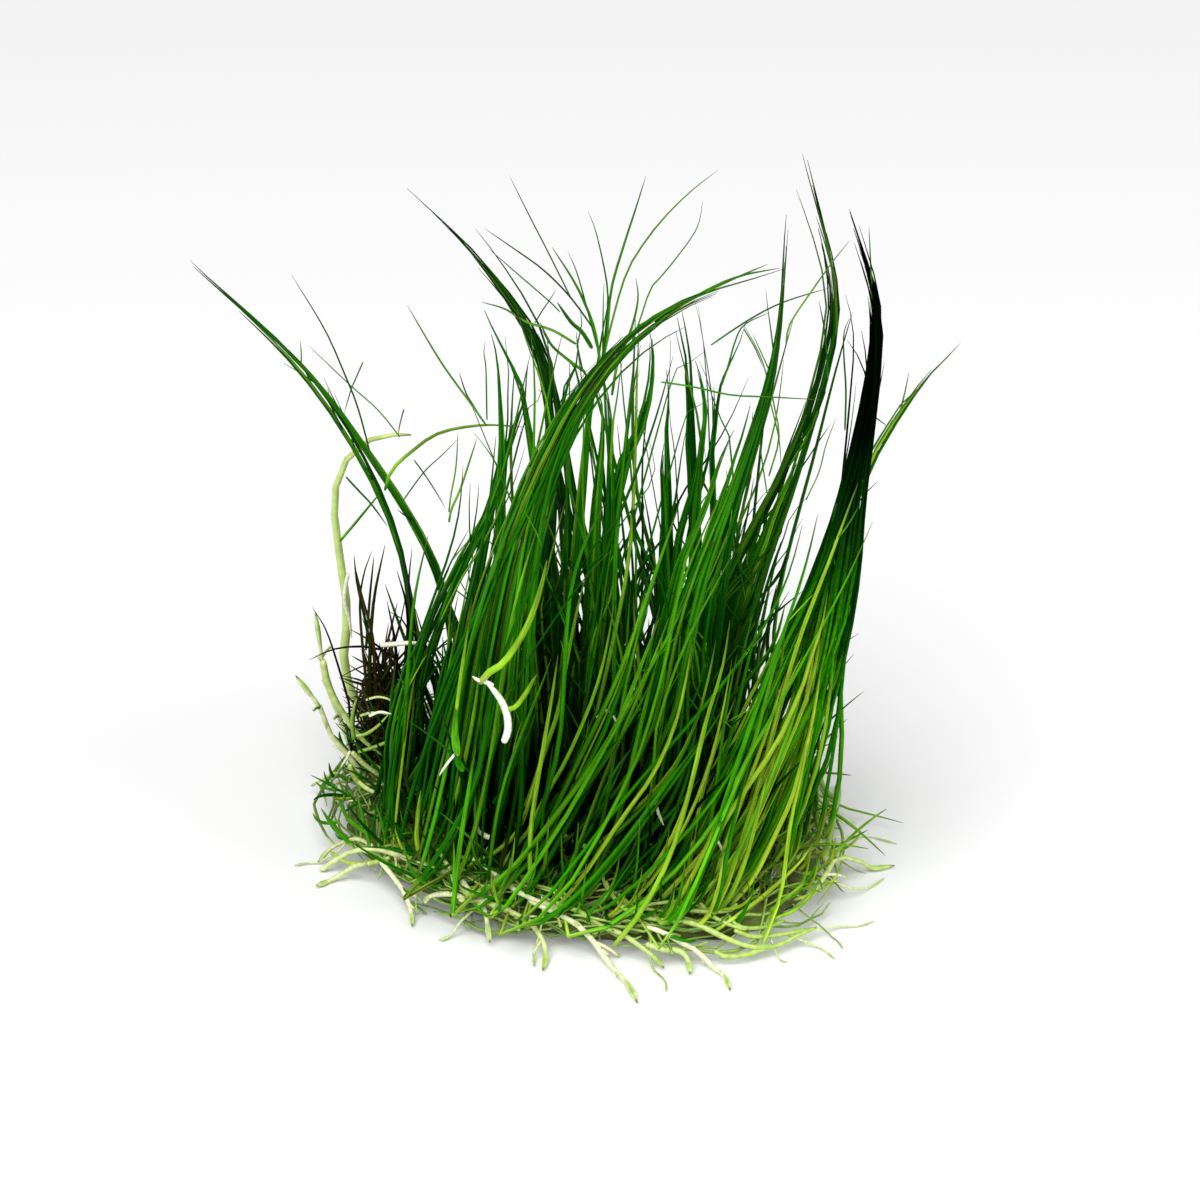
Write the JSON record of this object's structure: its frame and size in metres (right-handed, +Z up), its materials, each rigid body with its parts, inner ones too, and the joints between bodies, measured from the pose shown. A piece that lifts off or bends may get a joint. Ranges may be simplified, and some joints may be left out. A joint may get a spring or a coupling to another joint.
{
  "type": "dwarf hairgrass plug",
  "caption": "Portion of dwarf hairgrass: thin glossy green blades in leaning wisps on a flat pad of pale runners, roots and clear gel.",
  "frame": {"origin": "middle of the root pad's flat underside", "axes": "+Z up along the blades, -Y towards the side that shows best, +X to its right"},
  "size_m": [0.0796, 0.0573, 0.0821],
  "materials": {
    "deep_blades": "wet gloss, deep green",
    "green_blades": "wet gloss, mid green",
    "fresh_blades": "wet gloss, yellow green",
    "root_pad": "wet tangle of roots and old growth",
    "ivory_roots": "wet, smooth, ivory to pale green",
    "pale_stems": "wet, smooth, pale green",
    "brown_shoots": "wet, wilted maroon brown",
    "clear_gel": "clear soft gel, wet"
  },
  "bodies": {
    "root": {"back_centre_1": "deep_blades", "back_centre_2": "deep_blades", "back_left_low_1": "deep_blades", "back_left_low_2": "deep_blades", "back_left_tall_1": "deep_blades", "back_left_tall_2": "deep_blades", "back_right_1": "deep_blades", "back_right_2": "deep_blades", "centre_1": "deep_blades", "centre_2": "deep_blades", "centre_left_1": "deep_blades", "centre_left_2": "deep_blades", "centre_left_3": "deep_blades", "centre_right_1": "green_blades", "centre_right_2": "green_blades", "far_right": "green_blades", "front_centre_1": "fresh_blades", "front_centre_2": "fresh_blades", "front_centre_3": "fresh_blades", "front_left_1": "fresh_blades", "front_left_2": "fresh_blades", "front_right_1": "fresh_blades", "front_right_2": "fresh_blades", "front_right_3": "fresh_blades", "front_sweep_1": "green_blades", "front_sweep_2": "green_blades", "front_sweep_3": "green_blades", "front_sweep_4": "green_blades", "gel_left": "clear_gel", "gel_right": "clear_gel", "left_body_1": "green_blades", "left_body_2": "green_blades", "left_front_1": "fresh_blades", "left_front_2": "fresh_blades", "left_lean_1": "green_blades", "left_lean_2": "green_blades", "loose_shoot": "pale_stems", "middle_1": "deep_blades", "middle_2": "deep_blades", "old_shoots": "brown_shoots", "pale_stem": "pale_stems", "right_edge_1": "deep_blades", "right_edge_2": "deep_blades", "right_edge_3": "deep_blades", "right_edge_4": "deep_blades", "right_middle_1": "green_blades", "right_middle_2": "green_blades", "right_middle_3": "green_blades", "right_tall_1": "deep_blades", "right_tall_2": "deep_blades", "root_front_a": "ivory_roots", "root_front_b": "ivory_roots", "root_front_long": "ivory_roots", "root_front_right": "ivory_roots", "root_mat": "root_pad", "runner_front_left": "ivory_roots", "runner_left": "ivory_roots", "runner_left_up": "ivory_roots", "runner_right": "ivory_roots"}
  },
  "joints": []
}
